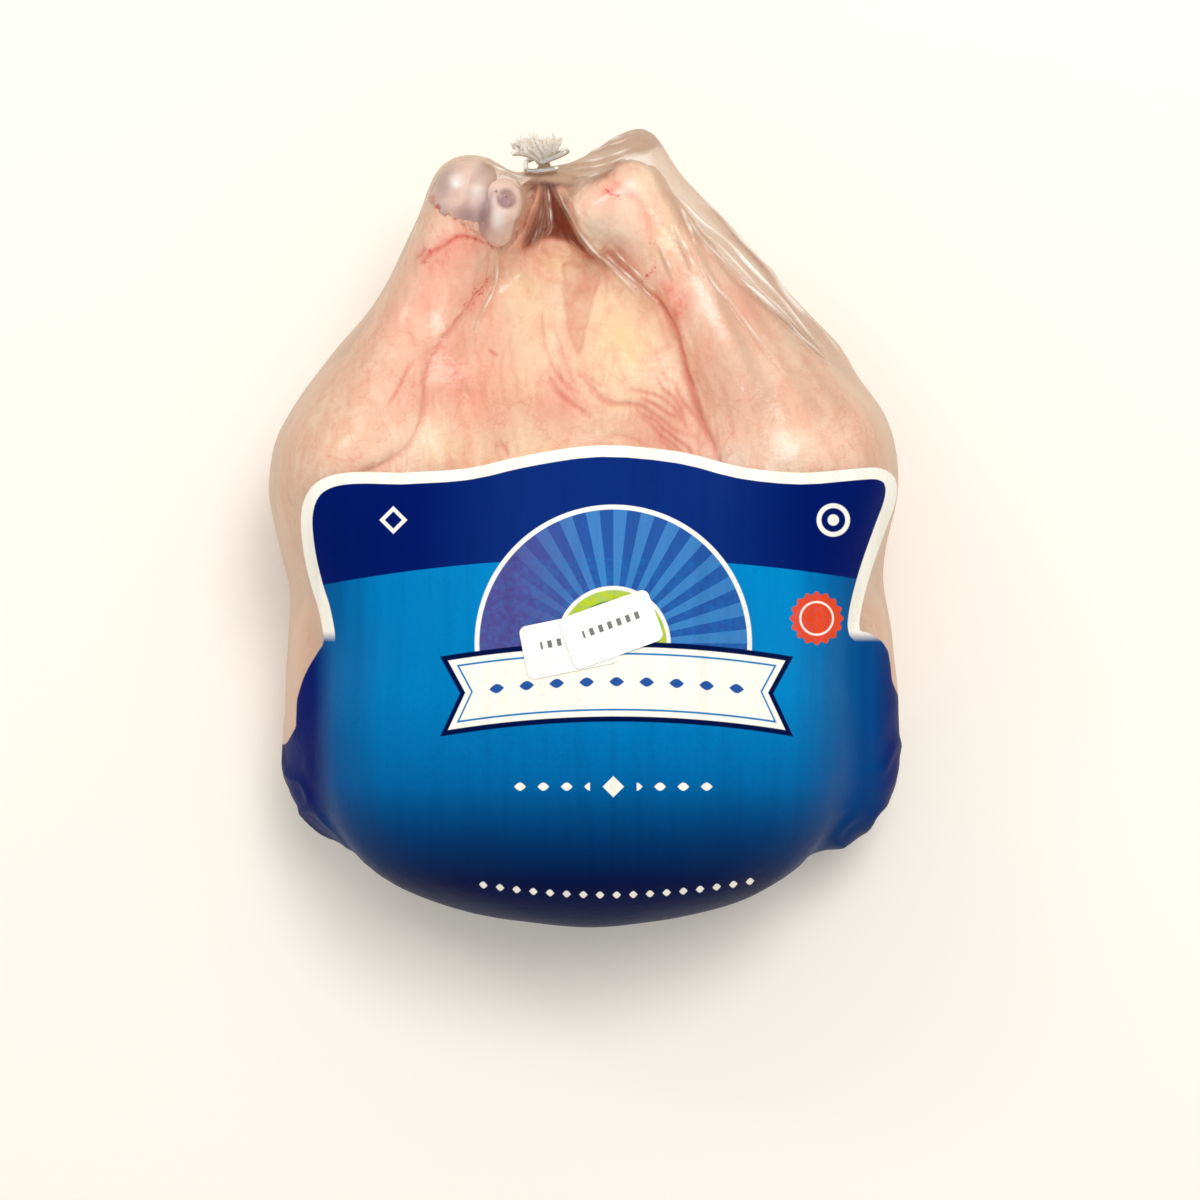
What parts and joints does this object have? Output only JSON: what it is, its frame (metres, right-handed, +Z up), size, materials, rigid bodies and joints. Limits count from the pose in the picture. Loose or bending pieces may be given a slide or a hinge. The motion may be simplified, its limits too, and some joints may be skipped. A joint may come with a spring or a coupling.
{
  "type": "whole raw chicken",
  "caption": "Whole raw chicken lying breast up in a tight clear film bag with a blue panel over the breast, gathered at the legs and shut with a bent wire clip; small paper labels on top.",
  "frame": {"origin": "middle of the base, on the surface the bird lies on", "axes": "+Z up through the breast, +Y from the neck end towards the legs and the clip, +X to the side"},
  "size_m": [0.1916, 0.2362, 0.115],
  "materials": {
    "bird_in_film": "tight clear film over raw poultry skin",
    "clip_wire": "soft drawn wire",
    "label_paper": "smooth coated paper"
  },
  "bodies": {
    "root": {"bagged_chicken": "bird_in_film", "wire_clip": "clip_wire", "lower_label": "label_paper", "upper_label": "label_paper"}
  },
  "joints": []
}
